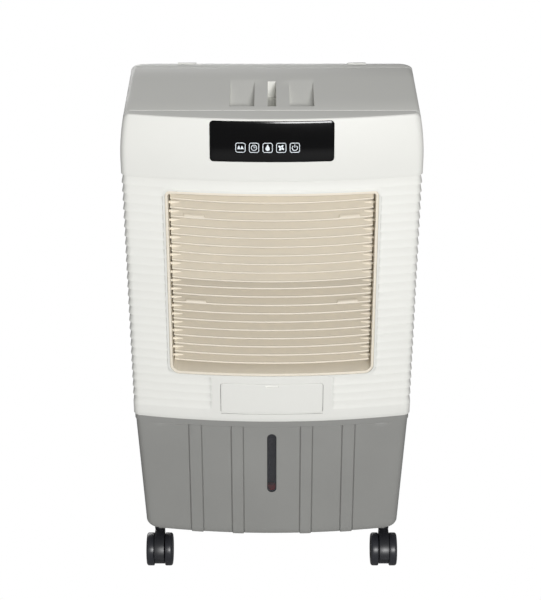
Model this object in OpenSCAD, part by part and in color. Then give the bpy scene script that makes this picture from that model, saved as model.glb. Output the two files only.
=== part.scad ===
// Portable evaporative cooler: a bowed ribbed cabinet over a water tank on four twin-wheel
// casters, with two banks of tilting louvres, swinging vanes, a fan and a wet pad inside.
// Millimetres, +Z up, the bowed front faces -Y. The origin is on the floor under the middle.

/* [Cabinet] */
// Overall width at the widest line
body_w = 430; // [428:1:434]
// Overall depth, from the bowed front to the flat back
body_d = 292; // [290:1:298]
// Overall height, from the floor to the lid
body_h = 790; // [788:1:794]
// How far the middle of the front stands ahead of its corners
bow_rise = 21; // [18:1:23]
// Wall thickness of the moulded shells
wall = 3; // [2.6:0.2:3.2]

/* [Ribs] */
// Number of clapboard ribs
rib_count = 27; // [10:1:27]
// Height of one rib
rib_pitch = 14.2; // [12:0.1:14.2]
// Depth of the step between two ribs
rib_depth = 1.6; // [0.8:0.1:1.8]

/* [Air outlet] */
// Half the width of the outlet opening
outlet_half_w = 148.5; // [148:0.5:149]
// Height of the opening's lower edge
outlet_low = 381; // [380:0.5:382]
// Height of the opening's upper edge
outlet_high = 676; // [675:0.5:677]
// Spacing of the louvre pivots
louvre_pitch = 14.23; // [14:0.01:14.25]
// Front-down tilt of the upper bank at rest
upper_tilt = 23; // [0:1:28]
// Front-down tilt of the lower bank at rest
lower_tilt = 12; // [0:1:28]

/* [Fill door] */
// Width of the fill door
door_w = 154; // [140:1:156]
// Height of the fill door's top edge
door_top = 363; // [360:0.5:364]

/* [Tank] */
// Height of the tank's underside
tank_low = 80; // [78:1:82]
// Height of the seam between the tank and the cabinet
seam_z = 296; // [294:1:298]
// Length of the level window
window_len = 109; // [100:1:112]

/* [Casters] */
// Diameter of the caster wheels
wheel_d = 53; // [50:1:54]
// Width of one wheel of a pair
wheel_w = 13; // [11:1:14]
// Distance of each caster from the middle plane
caster_x = 180; // [176:1:182]
// Distance from the swivel axis to the axle
caster_trail = 18; // [14:1:20]

/* [Hidden] */
$fn = 64;
bank = 10;
louvre_numbers = [for (k = [1:2 * bank]) k];
function two_digits(k) = k < 10 ? str("0", k) : str(k);
louvre_names = [for (k = louvre_numbers) str("louvre_", two_digits(k))];
vane_x = [-112, -56, 0, 56, 112];
vane_names = [for (k = [1:len(vane_x)]) str("vane_", k)];
corner_names = ["front_left", "front_right", "rear_left", "rear_right"];
fork_names = [for (c = corner_names) str("caster_fork_", c)];
wheel_names = [for (c = corner_names) str("caster_wheels_", c)];

white = [0.90, 0.90, 0.89];
beige = [0.82, 0.77, 0.70];
grey = [0.56, 0.56, 0.55];
dark = [0.18, 0.18, 0.20];

// Outer form
half_w = body_w / 2;
back_y = body_d / 2;
bow_r = (half_w * half_w + bow_rise * bow_rise) / (2 * bow_rise);
bow_y = bow_r - back_y;
sweep_deg = 17;
section_d = body_d + 10;
lean_z = body_h - 70;
lean_r = 210;
side_taper = 3.5;
shoulder_in = 7;
shoulder_h = body_h - lean_z;
shoulder_r = (shoulder_in * shoulder_in + shoulder_h * shoulder_h) / (2 * shoulder_in);
roll_r = 90;
front_corner_r = 12;
rear_corner_r = 20;
corner_slack = 1;

// Seams
front_seam_y = -103;
rear_seam_y = 60;
lid_low = 775;
seam_gap = 0.3;

// Ribs
rib_low = 316;
rib_land = 0.3;
rib_gap = 0.1;
plain_half_w = 91;
plain_top = 372.8;
outlet_margin = 4;

// Air outlet
frame_wall = 4;
frame_recess = 1;
frame_back = -56;
louvre_half_w = 146;
louvre_t = 1.8;
louvre_recess = 15;
louvre_front_r = bow_r - louvre_recess;
pivot_y = -111;
louvre_back = 14;
link_arm = 18;
link_x = 73;
lug_half = 2;
lug_r = 2.2;
pin_gap = 0.05;
pivot_r = 2;
link_r = 1;
first_pivot_z = 665;
tab_louvre = 3;

// Vanes
vane_y = -72;
vane_front = 12;
vane_back = 6;
vane_arm = 10;
vane_t = 2;
vane_low = outlet_low + 4;
vane_high = outlet_high - 4;
vane_ear_z = 396;

// Fan
fan_z = (outlet_low + outlet_high) / 2;
ring_r = 140;
blade_r = 136;
shaft_r = 5;

// Pad
pad_front = 88;
pad_back = 120;
pad_low = 316;
pad_high = 738;

// Fill door
door_low = 311;
door_hinge_y = -142;
door_gap = 0.6;
door_pin_r = 1.2;

// Tank
tank_front_top = 2;
tank_front_low = 6;
tank_top_half = 209;
tank_low_half = 198.5;
lip_h = 10;
lip_in = 1.5;
floor_t = 3;
tank_back_top = back_y - 2;
tank_back_low = back_y - 6;
window_half_w = 7.2;
window_low = 162;
drain_z = 104;

// Casters
stem_r = 5;
wheel_gap = 16;
caster_y = [-90, 95];
caster_places = [for (y = caster_y) for (s = [-1, 1]) [s * caster_x, y]];

// Helpers
module both_sides() {
    children();
    mirror([1, 0, 0]) children();
}
module block(x0, x1, y0, y1, z0, z1) {
    translate([x0, y0, z0]) cube([x1 - x0, y1 - y0, z1 - z0]);
}
module cyl_x(r, x0, x1, y, z) {
    translate([x0, y, z]) rotate([0, 90, 0]) cylinder(r = r, h = x1 - x0);
}
module cyl_y(r, y0, y1, x, z) {
    translate([x, y1, z]) rotate([90, 0, 0]) cylinder(r = r, h = y1 - y0);
}
module cyl_z(r, z0, z1, x, y) {
    translate([x, y, z0]) cylinder(r = r, h = z1 - z0);
}
// Extrudes an (x, z) shape along Y, or a (y, z) shape along X
module along_y(y0, y1) {
    translate([0, y1, 0]) rotate([90, 0, 0]) linear_extrude(y1 - y0) children();
}
module along_x(x0, x1) {
    translate([x0, 0, 0]) rotate([90, 0, 90]) linear_extrude(x1 - x0) children();
}
// Sweeps an (r, z) section round the axis that the bowed front shares
module bow_sweep() {
    translate([0, bow_y, 0])
        rotate_extrude(angle = 2 * sweep_deg, start = 270 - sweep_deg, $fn = 720) children();
}
// Upright rectangle in (x, z) with its own lower and upper corner radii
module upright(hw, z0, z1, rb, rt) {
    translate([-hw + rb, z0]) square([2 * (hw - rb), z1 - z0 - rt]);
    translate([-hw, z0 + rb]) square([2 * hw, z1 - z0 - rb - rt]);
    translate([-hw + rt, z1 - rt - 1]) square([2 * (hw - rt), rt + 1]);
    for (s = [-1, 1]) {
        translate([s * (hw - rb), z0 + rb]) circle(r = rb);
        translate([s * (hw - rt), z1 - rt]) circle(r = rt);
    }
}

// Upright slot shape in (x, z) with round ends
module obround(r, z0, z1) {
    translate([-r, z0 + r]) square([2 * r, z1 - z0 - 2 * r]);
    for (z = [z0 + r, z1 - r]) translate([0, z]) circle(r = r);
}

// Cabinet form
function side_x(z) = half_w - side_taper * (lean_z - z) / (lean_z - seam_z);
module front_section(inset, z0, z1) {
    intersection() {
        translate([bow_r - section_d, z0]) square([section_d, z1 - z0]);
        union() {
            translate([bow_r - section_d, -1]) square([section_d - inset, lean_z + 1]);
            translate([bow_r - section_d, -1]) square([section_d - lean_r, body_h + 2]);
            translate([bow_r - lean_r, lean_z]) circle(r = lean_r - inset, $fn = 360);
        }
    }
}
module front_view(inset, z0, z1) {
    w = half_w - inset;
    low_w = w - side_taper;
    intersection() {
        translate([-w, z0]) square([2 * w, z1 - z0]);
        union() {
            polygon([[-low_w, seam_z], [low_w, seam_z], [w, lean_z], [-w, lean_z]]);
            translate([-low_w, z0 - 1]) square([2 * low_w, seam_z - z0 + 2]);
            intersection() {
                translate([-w, lean_z]) square([2 * w, shoulder_h]);
                translate([w - shoulder_r, lean_z]) circle(r = shoulder_r, $fn = 720);
                translate([shoulder_r - w, lean_z]) circle(r = shoulder_r, $fn = 720);
            }
        }
    }
}
module side_view(inset, z0, z1) {
    back = back_y - inset;
    intersection() {
        translate([-back_y - 5, z0]) square([back + back_y + 5, z1 - z0]);
        union() {
            translate([-back_y - 5, -1]) square([back + back_y + 5, body_h - roll_r + 1]);
            translate([-back_y - 5, -1]) square([2 * back_y + 5 - roll_r, body_h - inset + 1]);
            translate([back_y - roll_r, body_h - roll_r]) circle(r = roll_r - inset, $fn = 360);
        }
    }
}
// Rounds the upright corners. It is slightly larger than the walls, so it only trims the corners
module plan(inset) {
    w = half_w - inset + corner_slack;
    back = back_y - inset + corner_slack;
    r = front_corner_r - inset;
    bow = bow_r - inset + corner_slack;
    corner_y = bow_y - sqrt(pow(bow - r, 2) - pow(w - r, 2));
    tangent_x = (w - r) * bow / (bow - r);
    rr = rear_corner_r - inset;
    translate([-tangent_x, -back_y - 5]) square([2 * tangent_x, back_y + 5]);
    translate([-w, corner_y]) square([2 * w, back - rr - corner_y]);
    translate([-w + rr, 0]) square([2 * (w - rr), back]);
    for (s = [-1, 1]) {
        translate([s * (w - r), corner_y]) circle(r = r);
        translate([s * (w - rr), back - rr]) circle(r = rr);
    }
}
module envelope(inset, z0, z1) {
    intersection() {
        bow_sweep() front_section(inset, z0, z1);
        along_y(-back_y - 5, back_y + 5) front_view(inset, z0, z1);
        along_x(-half_w, half_w) side_view(inset, z0, z1);
        translate([0, 0, z0]) linear_extrude(z1 - z0) plan(inset);
    }
}
// What the steps between the ribs take off the front and the sides
module rib_cut() {
    difference() {
        union() {
            bow_sweep() for (i = [0:rib_count - 1]) {
                z = rib_low + i * rib_pitch;
                polygon([[bow_r + rib_land, z + rib_gap], [bow_r - rib_depth, z + rib_pitch],
                         [bow_r + 1, z + rib_pitch]]);
            }
            both_sides() along_y(-back_y, back_y - rear_corner_r) for (i = [0:rib_count - 1]) {
                z = rib_low + i * rib_pitch;
                w0 = side_x(z);
                w1 = side_x(z + rib_pitch);
                polygon([[w0 + rib_land, z + rib_gap], [w1 - rib_depth, z + rib_pitch],
                         [w1 + 1, z + rib_pitch]]);
            }
        }
        along_y(-back_y - 5, 0)
            upright(outlet_half_w + outlet_margin, outlet_low - outlet_margin,
                    outlet_high + outlet_margin, 14, 10);
        block(-plain_half_w, plain_half_w, -back_y - 5, 0, rib_low - 1, plain_top);
    }
}
module cabinet_shell(y0, y1, z1) {
    intersection() {
        difference() {
            envelope(0, seam_z, z1);
            envelope(wall, seam_z - 1, min(z1 + 1, body_h - wall));
            rib_cut();
        }
        block(-half_w, half_w, y0, y1, seam_z - 1, body_h + 1);
    }
}

// Cabinet parts
screw_places = [[seam_z + 10.5, half_w - side_taper - 0.2], [706, half_w - 0.4]];
screw_y = front_seam_y + 10;
screw_r = 1.9;
head_r = 3.5;
module front_panel() {
    color(white) difference() {
        union() {
            cabinet_shell(-back_y - 1, front_seam_y, body_h);
            // Ledge along the bottom edge
            intersection() {
                difference() {
                    envelope(wall - 0.5, seam_z, seam_z + wall);
                    envelope(wall + 11, seam_z - 1, seam_z + wall + 1);
                }
                block(-half_w, half_w, -back_y, front_seam_y, seam_z, seam_z + wall);
            }
            // Door hinge lugs
            both_sides() block(door_w / 2 + door_gap, door_w / 2 + 6, door_hinge_y - 0.5,
                               door_hinge_y + 4, door_low - 4, door_low + 5);
            // Screw tabs that reach behind the seam
            for (p = screw_places) both_sides() {
                block(p[1] - wall - 4.3, p[1] - wall - 0.3, front_seam_y - 12, screw_y + 8,
                      p[0] - 5, p[0] + 6);
                block(p[1] - wall - 4.3, p[1] - wall + 1, front_seam_y - 12, front_seam_y,
                      p[0] - 5, p[0] + 6);
            }
        }
        // Outlet opening
        along_y(-back_y - 5, 0)
            upright(outlet_half_w + frame_wall + 0.5, outlet_low - frame_wall - 0.5,
                    outlet_high + frame_wall + 0.5, 14.5, 8.5);
        // Door opening with a round lower edge that the door turns in
        block(-door_w / 2 - door_gap, door_w / 2 + door_gap, -back_y - 5, front_seam_y - 20,
              door_low, door_top + door_gap);
        cyl_x(4.4, -door_w / 2 - door_gap, door_w / 2 + door_gap, door_hinge_y, door_low);
        both_sides() cyl_x(door_pin_r + pin_gap, door_w / 2, door_w / 2 + 5, door_hinge_y, door_low);
        // Recess that the display sits in
        display_recess();
        for (p = screw_places) both_sides()
            cyl_x(screw_r, p[1] - wall - 9, p[1] + 1, screw_y, p[0]);
    }
}
display_half_w = 87;
display_low = 730;
display_high = 787;
module display_form(grow) {
    along_y(-back_y - 5, -60)
        upright(display_half_w + grow, display_low - grow, display_high + grow, 5, 5);
}
module front_skin(outer, inner) {
    difference() {
        bow_sweep() front_section(outer, display_low - 5, body_h - 0.5);
        bow_sweep() front_section(inner, display_low - 6, body_h);
    }
}
module display_recess() {
    intersection() {
        front_skin(-5, 1.2);
        display_form(0.3);
    }
}
module display_panel() {
    color([0.05, 0.05, 0.05]) intersection() {
        front_skin(-0.3, 1.2);
        display_form(0);
    }
}
module control_board() {
    color([0.1, 0.35, 0.2]) {
        block(-75, 75, -121.6, -120, 732, 770);
        both_sides() block(58, 64, -130, -121.6, 740, 746);
        for (x = [-44, -25, -6, 13, 32]) block(x - 4, x + 4, -124, -121.6, 746, 754);
        block(-60, -48, -120, -104, 736, 752);
    }
}

lid_wall = 2;
well_inner = 25;
well_outer = 60;
well_front = -88;
well_back = 4;
well_depth = 12;
ramp_run = 45;
slot_half_w = 6;
slot_depth = 25;
// Side section of a pocket: a ramp falls forwards to a flat floor
module well_section(grow) {
    top = body_h + 2 - 2 * grow;
    polygon([[well_front - grow, top], [well_front - grow, body_h - well_depth - grow],
             [well_back - ramp_run - grow / 4, body_h - well_depth - grow],
             [well_back + grow, body_h - grow], [well_back + grow, top]]);
}
module top_cover() {
    color(white) difference() {
        union() {
            intersection() {
                difference() {
                    envelope(0, lid_low, body_h);
                    envelope(wall, lid_low - 1, body_h - wall);
                }
                block(-half_w, half_w, front_seam_y + seam_gap, rear_seam_y, lid_low, body_h);
            }
            both_sides() along_x(well_inner - lid_wall, well_outer + lid_wall) well_section(lid_wall);
            block(-slot_half_w - lid_wall, slot_half_w + lid_wall, well_front - lid_wall,
                  well_back + lid_wall, body_h - slot_depth - lid_wall, body_h - 1);
        }
        both_sides() along_x(well_inner, well_outer) well_section(0);
        block(-slot_half_w, slot_half_w, well_front, well_back, body_h - slot_depth, body_h + 1);
    }
}

gland_y = 30;
gland_z = 352;
gland_r = 8;
gland_bore_r = 4;
gland_flange_r = 12;
gland_seat_x = half_w - side_taper - 0.6;
rail_z = pad_high + 4;
module main_housing() {
    color(white) difference() {
        union() {
            difference() {
                cabinet_shell(front_seam_y + seam_gap, rear_seam_y, lid_low - seam_gap);
                // Round seat for the cord gland
                cyl_x(gland_flange_r + 2, gland_seat_x, half_w + 1, gland_y, gland_z);
            }
            cyl_x(gland_flange_r + 4, gland_seat_x - wall - 2, gland_seat_x - 0.4, gland_y, gland_z);
            // Deck over the tank
            intersection() {
                envelope(wall - 0.5, seam_z + 3, seam_z + 6);
                block(-half_w, half_w, front_seam_y + seam_gap, rear_seam_y, seam_z, seam_z + 10);
            }
            // Rails that carry the drip trough
            both_sides() block(199, half_w - wall, 44, 59, rail_z - 6, rail_z);
            // Posts that hold the fan plate at its corners
            both_sides() for (z = [360, 700])
                block(196, side_x(z) - wall + 0.8, -52.8, -46, z - 8, z + 8);
        }
        cyl_x(gland_r + pin_gap, gland_seat_x - wall - 5, half_w + 1, gland_y, gland_z);
        for (p = screw_places) both_sides() {
            cyl_x(screw_r + 0.1, p[1] - wall - 1, p[1] + 1, screw_y, p[0]);
            cyl_x(head_r + 0.3, p[1] - 1.8, p[1] + 2, screw_y, p[0]);
        }
        // Corners of the deck give way to the front panel's screw tabs
        both_sides() block(half_w - side_taper - wall - 6, half_w - side_taper - wall, front_seam_y,
                           screw_y + 8.5, seam_z + 1, seam_z + 15);
    }
}
module housing_screws() {
    color("silver") for (p = screw_places) both_sides() {
        cyl_x(head_r, p[1] - 1.8, p[1] - 0.4, screw_y, p[0]);
        cyl_x(screw_r, p[1] - wall - 8, p[1] - 1.8, screw_y, p[0]);
    }
}
module cord_gland() {
    color(dark) difference() {
        union() {
            cyl_x(gland_r, gland_seat_x - wall - 7, gland_seat_x, gland_y, gland_z);
            cyl_x(gland_flange_r, gland_seat_x, gland_seat_x + 2.5, gland_y, gland_z);
        }
        cyl_x(gland_bore_r, gland_seat_x - wall - 8, gland_seat_x + 3, gland_y, gland_z);
    }
}

// Air outlet
module louvre_frame() {
    color(beige) difference() {
        union() {
            intersection() {
                difference() {
                    along_y(-back_y, frame_back)
                        upright(outlet_half_w + frame_wall, outlet_low - frame_wall,
                                outlet_high + frame_wall, 14, 8);
                    along_y(-back_y - 1, frame_back + 1)
                        upright(outlet_half_w, outlet_low, outlet_high, 10, 4);
                }
                bow_sweep() front_section(frame_recess, outlet_low - 10, outlet_high + 10);
            }
            // Flange against the fan plate
            difference() {
                along_y(frame_back - 4, frame_back)
                    upright(outlet_half_w + 12, outlet_low - 12, outlet_high + 12, 14, 14);
                along_y(frame_back - 5, frame_back + 1)
                    upright(outlet_half_w, outlet_low, outlet_high, 10, 4);
            }
            // Centre support behind the louvres
            block(-1.5, 1.5, -89, -86.5, outlet_low - 1, outlet_high + 1);
        }
        for (k = louvre_numbers)
            cyl_x(pivot_r + pin_gap, -outlet_half_w - frame_wall - 1, -outlet_half_w + 1,
                  pivot_y, pivot_z(k));
        for (k = louvre_numbers)
            cyl_x(pivot_r + pin_gap, outlet_half_w - 1, outlet_half_w + frame_wall + 1,
                  pivot_y, pivot_z(k));
        for (x = vane_x) {
            cyl_z(pivot_r + pin_gap, outlet_high - 1, outlet_high + frame_wall + 1, x, vane_y);
            cyl_z(pivot_r + pin_gap, outlet_low - frame_wall - 1, outlet_low + 1, x, vane_y);
        }
    }
}
function pivot_z(k) = first_pivot_z - louvre_pitch * (k - 1);
function tilt(k) = k > bank ? lower_tilt : upper_tilt;

tab_x0 = 97;
tab_x1 = 127;
tab_depth = 6;
tab_h = 2.4;
// One louvre, drawn level with its pivot axis on the X axis
module level_louvre(has_tabs) {
    difference() {
        union() {
            intersection() {
                block(-louvre_half_w, louvre_half_w, -40, louvre_back, -5, 5);
                translate([0, -pivot_y, 0]) bow_sweep() {
                    translate([louvre_front_r - 60, -louvre_t / 2]) square([60, louvre_t]);
                    translate([louvre_front_r - 1.8, -1.4]) square([1.8, 2.8]);
                }
            }
            both_sides() {
                cyl_x(pivot_r, louvre_half_w - 1, outlet_half_w + frame_wall - 0.3, 0, 0);
                translate([louvre_half_w, 0, 0]) rotate([0, -90, 0])
                    cylinder(r1 = 3.4, r2 = 1.4, h = 13);
            }
            for (s = [-1, 1]) {
                cyl_x(lug_r, s * link_x - lug_half, s * link_x + lug_half, link_arm, 0);
                block(s * link_x - lug_half, s * link_x + lug_half, louvre_back - 1, link_arm,
                      -louvre_t / 2, louvre_t / 2);
            }
            if (has_tabs) both_sides() intersection() {
                block(tab_x0, tab_x1, -40, 0, 0, louvre_t / 2 + tab_h);
                translate([0, -pivot_y, 0]) bow_sweep()
                    translate([louvre_front_r - tab_depth, 0]) square([tab_depth - 0.4, 5]);
            }
        }
        for (s = [-1, 1])
            cyl_x(link_r + pin_gap, s * link_x - 3, s * link_x + 3, link_arm, 0);
    }
}
module louvre(k) {
    color(beige) translate([0, pivot_y, pivot_z(k)]) rotate([tilt(k), 0, 0])
        level_louvre(k == tab_louvre || k == bank + tab_louvre);
}
bar_x0 = link_x + lug_half + 0.3;
bar_x1 = bar_x0 + 2.5;
module tie_bars(first) {
    a = tilt(first);
    y = pivot_y + link_arm * cos(a);
    up = link_arm * sin(a);
    color(beige) both_sides() {
        block(bar_x0, bar_x1, y - 2, y + 2, pivot_z(first + bank - 1) + up - lug_r,
              pivot_z(first) + up + lug_r);
        for (k = [first:first + bank - 1])
            cyl_x(link_r, link_x - lug_half + 0.2, bar_x0 + 0.5, y, pivot_z(k) + up);
    }
}
module vane(k) {
    x = vane_x[k - 1];
    middle = x == 0;
    color(beige) difference() {
        union() {
            block(x - vane_t / 2, x + vane_t / 2, vane_y - vane_front, vane_y + vane_back,
                  vane_low, vane_high);
            cyl_z(pivot_r + 0.6, vane_low - 2, vane_high + 2, x, vane_y);
            cyl_z(pivot_r, vane_high, outlet_high + frame_wall - 0.3, x, vane_y);
            cyl_z(pivot_r, middle ? outlet_low - 18 : outlet_low - frame_wall + 0.3, vane_low,
                  x, vane_y);
            cyl_z(2.8, vane_ear_z, vane_ear_z + 4, x, vane_y + vane_arm);
            block(x - vane_t / 2, x + vane_t / 2, vane_y, vane_y + vane_arm, vane_ear_z,
                  vane_ear_z + 4);
        }
        cyl_z(link_r + pin_gap, vane_ear_z - 1, vane_ear_z + 5, x, vane_y + vane_arm);
    }
}
module vane_tie_bar() {
    y = vane_y + vane_arm;
    end_x = vane_x[len(vane_x) - 1] + 4;
    color(beige) {
        block(-end_x, end_x, y - 2, y + 2, vane_ear_z + 4.3, vane_ear_z + 7);
        for (x = vane_x) cyl_z(link_r, vane_ear_z + 0.2, vane_ear_z + 5, x, y);
    }
}
module swing_motor() {
    top = outlet_low - frame_wall - 0.2;
    color("silver") difference() {
        union() {
            cyl_z(11.5, top - 19, top, 0, vane_y);
            block(-18, 18, vane_y - 3.5, vane_y + 3.5, top - 1, top);
        }
        cyl_z(pivot_r + pin_gap, top - 16, top + 1, 0, vane_y);
    }
}

// Air path
module fan_shroud() {
    color(dark) difference() {
        union() {
            intersection() {
                envelope(wall + 0.4, 330, 730);
                block(-half_w, half_w, frame_back, -53, 330, 730);
            }
            cyl_y(ring_r + 4, frame_back, -2, 0, fan_z);
        }
        cyl_y(ring_r, frame_back - 1, -1, 0, fan_z);
    }
    color(dark) difference() {
        union() {
            intersection() {
                union() {
                    block(-ring_r - 2, ring_r + 2, -10, -2, fan_z - 5, fan_z + 5);
                    block(-5, 5, -10, -2, fan_z - ring_r - 2, fan_z + ring_r + 2);
                }
                cyl_y(ring_r + 2, -10, -2, 0, fan_z);
            }
            cyl_y(52, -10, -2, 0, fan_z);
        }
        cyl_y(9, -11, -1, 0, fan_z);
    }
}
module fan_motor() {
    color("silver") {
        cyl_y(46, -2, 46, 0, fan_z);
        cyl_y(38, 46, 54, 0, fan_z);
        cyl_y(shaft_r, -44, -2, 0, fan_z);
    }
}
blade_count = 5;
blade_pitch = 32;
module fan_blade() {
    color([0.85, 0.85, 0.85]) translate([0, -16, fan_z]) rotate([90, 0, 0]) difference() {
        union() {
            cylinder(r = 30, h = 30);
            intersection() {
                cylinder(r = blade_r, h = 30);
                for (i = [0:blade_count - 1]) rotate([0, 0, i * 360 / blade_count])
                    translate([25, 0, 15]) rotate([blade_pitch, 0, 0])
                        translate([0, -50, -1.2]) cube([blade_r, 100, 2.4]);
            }
        }
        translate([0, 0, -1]) cylinder(r = shaft_r + pin_gap, h = 32);
    }
}
slot_pitch = 16;
slot_count = 25;
clip_x = 127;
module rear_grille() {
    color(white) {
        difference() {
            union() {
                cabinet_shell(rear_seam_y + seam_gap, back_y + 1, body_h);
                // Ledge under the pad and stops behind it
                intersection() {
                    envelope(wall - 0.5, pad_low - 4, pad_low);
                    block(-half_w, half_w, pad_front - 2, back_y, pad_low - 4, pad_low);
                }
                both_sides() block(194, side_x(pad_low) - wall + 0.8, pad_back, back_y - wall + 1,
                                   pad_low - 1, pad_high - 20);
                // Clips over the roof
                both_sides() intersection() {
                    translate([0, back_y - roll_r, body_h - roll_r]) rotate([0, 90, 0])
                        cylinder(r = roll_r + 1.8, h = half_w, $fn = 360);
                    block(clip_x - 14, clip_x + 14, 75, 95, body_h - 22, body_h);
                }
            }
            for (i = [0:slot_count - 1]) both_sides()
                block(8, 184, back_y - wall - 2, back_y + 1, 326 + i * slot_pitch,
                      334 + i * slot_pitch);
            // The roof stays hollow under the clips
            intersection() {
                envelope(wall, seam_z + 30, body_h - wall);
                block(-half_w, half_w, rear_seam_y, back_y, pad_high, body_h);
            }
        }
    }
}
module cooling_pad() {
    color([0.55, 0.45, 0.32]) block(-192, 192, pad_front, pad_back, pad_low + 0.2, pad_high);
}
hose_x = 120;
hose_y = 74;
hose_r = 6;
hose_bore_r = 4.5;
module water_distributor() {
    color([0.75, 0.75, 0.75]) difference() {
        union() {
            block(-190, 190, 64, 122, rail_z, rail_z + 10);
            block(-206, 206, 45, 65, rail_z, rail_z + 3);
        }
        block(-188, 188, 66, 120, rail_z + 2, rail_z + 11);
        for (i = [-9:9]) cyl_z(1.5, rail_z - 1, rail_z + 3, i * 20, 104);
        cyl_z(hose_bore_r, rail_z - 1, rail_z + 3, hose_x, hose_y);
    }
}
pump_top = 138;
module pump() {
    color(dark) difference() {
        union() {
            block(hose_x - 24, hose_x + 24, hose_y - 40, hose_y + 14, tank_low + floor_t, pump_top);
            cyl_z(hose_bore_r - 0.1, pump_top - 1, pump_top + 12, hose_x, hose_y);
        }
        cyl_z(3, pump_top - 10, pump_top + 13, hose_x, hose_y);
    }
}
module pump_hose() {
    color([0.2, 0.2, 0.2]) difference() {
        cyl_z(hose_r, pump_top, rail_z, hose_x, hose_y);
        cyl_z(hose_bore_r, pump_top - 1, rail_z + 1, hose_x, hose_y);
    }
}

// Water inlet
chute_half_w = 82;
chute_back = -104.5;
module fill_door() {
    color(white) {
        difference() {
            union() {
                intersection() {
                    difference() {
                        bow_sweep() front_section(0, door_low, door_top);
                        bow_sweep() front_section(wall + 0.5, door_low - 1, door_top + 1);
                    }
                    block(-door_w / 2, door_w / 2, -back_y - 1, front_seam_y, door_low, door_top);
                }
                cyl_x(1.6, -door_w / 2, door_w / 2, door_hinge_y, door_low);
                cyl_x(door_pin_r, -door_w / 2 - 4, door_w / 2 + 4, door_hinge_y, door_low);
            }
            // Finger slot
            block(-10, 10, -back_y - 2, front_seam_y, door_top - 6, door_top + 1);
        }
    }
}
module fill_chute() {
    color([0.8, 0.8, 0.8]) difference() {
        block(-chute_half_w, chute_half_w, -137.5, chute_back, seam_z + 4, door_top + 8);
        block(-chute_half_w + 2, chute_half_w - 2, -138, chute_back - 2, seam_z + 3, door_top + 6);
    }
}

// Tank
// The lean of the tank's side and front faces, in degrees
tank_rise = seam_z - lip_h - tank_low;
side_lean = atan((tank_top_half - tank_low_half) / tank_rise);
front_lean = atan((tank_front_low - tank_front_top) / tank_rise);
tank_corner_r = 14;
tank_bottom_r = 12;
// What the rounding takes off one front corner
module tank_corner_cut(inset) {
    r = tank_corner_r - inset;
    x = tank_low_half - tank_corner_r + corner_slack;
    front = bow_r - tank_front_low - tank_corner_r + corner_slack;
    y = bow_y - sqrt(front * front - x * x);
    translate([x, y, tank_low]) rotate([front_lean, side_lean, 0]) difference() {
        translate([0, -40, -20]) cube([40, 40, tank_rise + 60]);
        translate([0, 0, -25]) cylinder(r = r, h = tank_rise + 70);
    }
}
module tank_form(inset, z0) {
    top = seam_z - lip_h;
    lw = tank_low_half - inset;
    tw = tank_top_half - inset;
    cr = tank_bottom_r;
    corner_x = lw + (z0 + cr - tank_low) * tan(side_lean) - cr + 0.6;
    difference() {
        intersection() {
            bow_sweep() polygon([[bow_r - section_d, z0], [bow_r - tank_front_low - inset, z0],
                                 [bow_r - tank_front_top - inset, top + 1],
                                 [bow_r - section_d, top + 1]]);
            along_y(-back_y, back_y) intersection() {
                polygon([[-lw, tank_low - 1], [lw, tank_low - 1], [tw, top], [tw, top + 1],
                         [-tw, top + 1], [-tw, top]]);
                union() {
                    translate([-half_w, z0 + cr]) square([2 * half_w, top]);
                    translate([-corner_x, z0]) square([2 * corner_x, cr + 1]);
                    for (s = [-1, 1]) translate([s * corner_x, z0 + cr]) circle(r = cr);
                }
            }
            along_x(-half_w, half_w)
                polygon([[-back_y, z0], [tank_back_low - inset, z0], [tank_back_top - inset, top + 1],
                         [-back_y, top + 1]]);
        }
        both_sides() tank_corner_cut(inset);
    }
}
channel_back = -128;
module water_tank() {
    lip_z = seam_z - lip_h;
    color(grey) difference() {
        union() {
            difference() {
                union() {
                    tank_form(0, tank_low);
                    envelope(lip_in, lip_z, seam_z);
                    // Pilasters on the front
                    intersection() {
                        bow_sweep() polygon([[bow_r - 30, tank_low],
                                             [bow_r - tank_front_low + 1.5, tank_low],
                                             [bow_r - tank_front_top + 1, lip_z + 1],
                                             [bow_r - 30, lip_z + 1]]);
                        both_sides() {
                            block(44, 62, -back_y, -100, tank_low, lip_z + 1);
                            block(108, 127, -back_y, -100, tank_low, lip_z + 1);
                        }
                    }
                }
                tank_form(wall, tank_low + floor_t);
                envelope(lip_in + wall, lip_z, seam_z + 1);
            }
            // Sockets for the caster stems
            for (p = caster_places) cyl_z(11, tank_low, tank_low + 34, p[0], p[1]);
            // Channel that guides the float
            difference() {
                block(-9, 9, -140.5, channel_back, window_low - 3, window_low + window_len + 2);
                block(-7, 7, -141, channel_back - 2, window_low - 0.1, window_low + window_len + 3);
                for (i = [0:4]) block(-3, 3, -131, channel_back + 1, window_low + 8 + i * 20,
                                      window_low + 16 + i * 20);
            }
            // Drain boss
            cyl_y(13, 128, 143, 0, drain_z);
        }
        for (p = caster_places) cyl_z(stem_r + pin_gap, tank_low - 1, tank_low + 28, p[0], p[1]);
        cyl_y(8 + pin_gap, 120, back_y, 0, drain_z);
        // Window slot and the recess that the window sits in
        along_y(-back_y, -136) obround(5.9, window_low + 1.3, window_low + window_len - 1.3);
        window_form(0.1, 3);
    }
}
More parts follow.
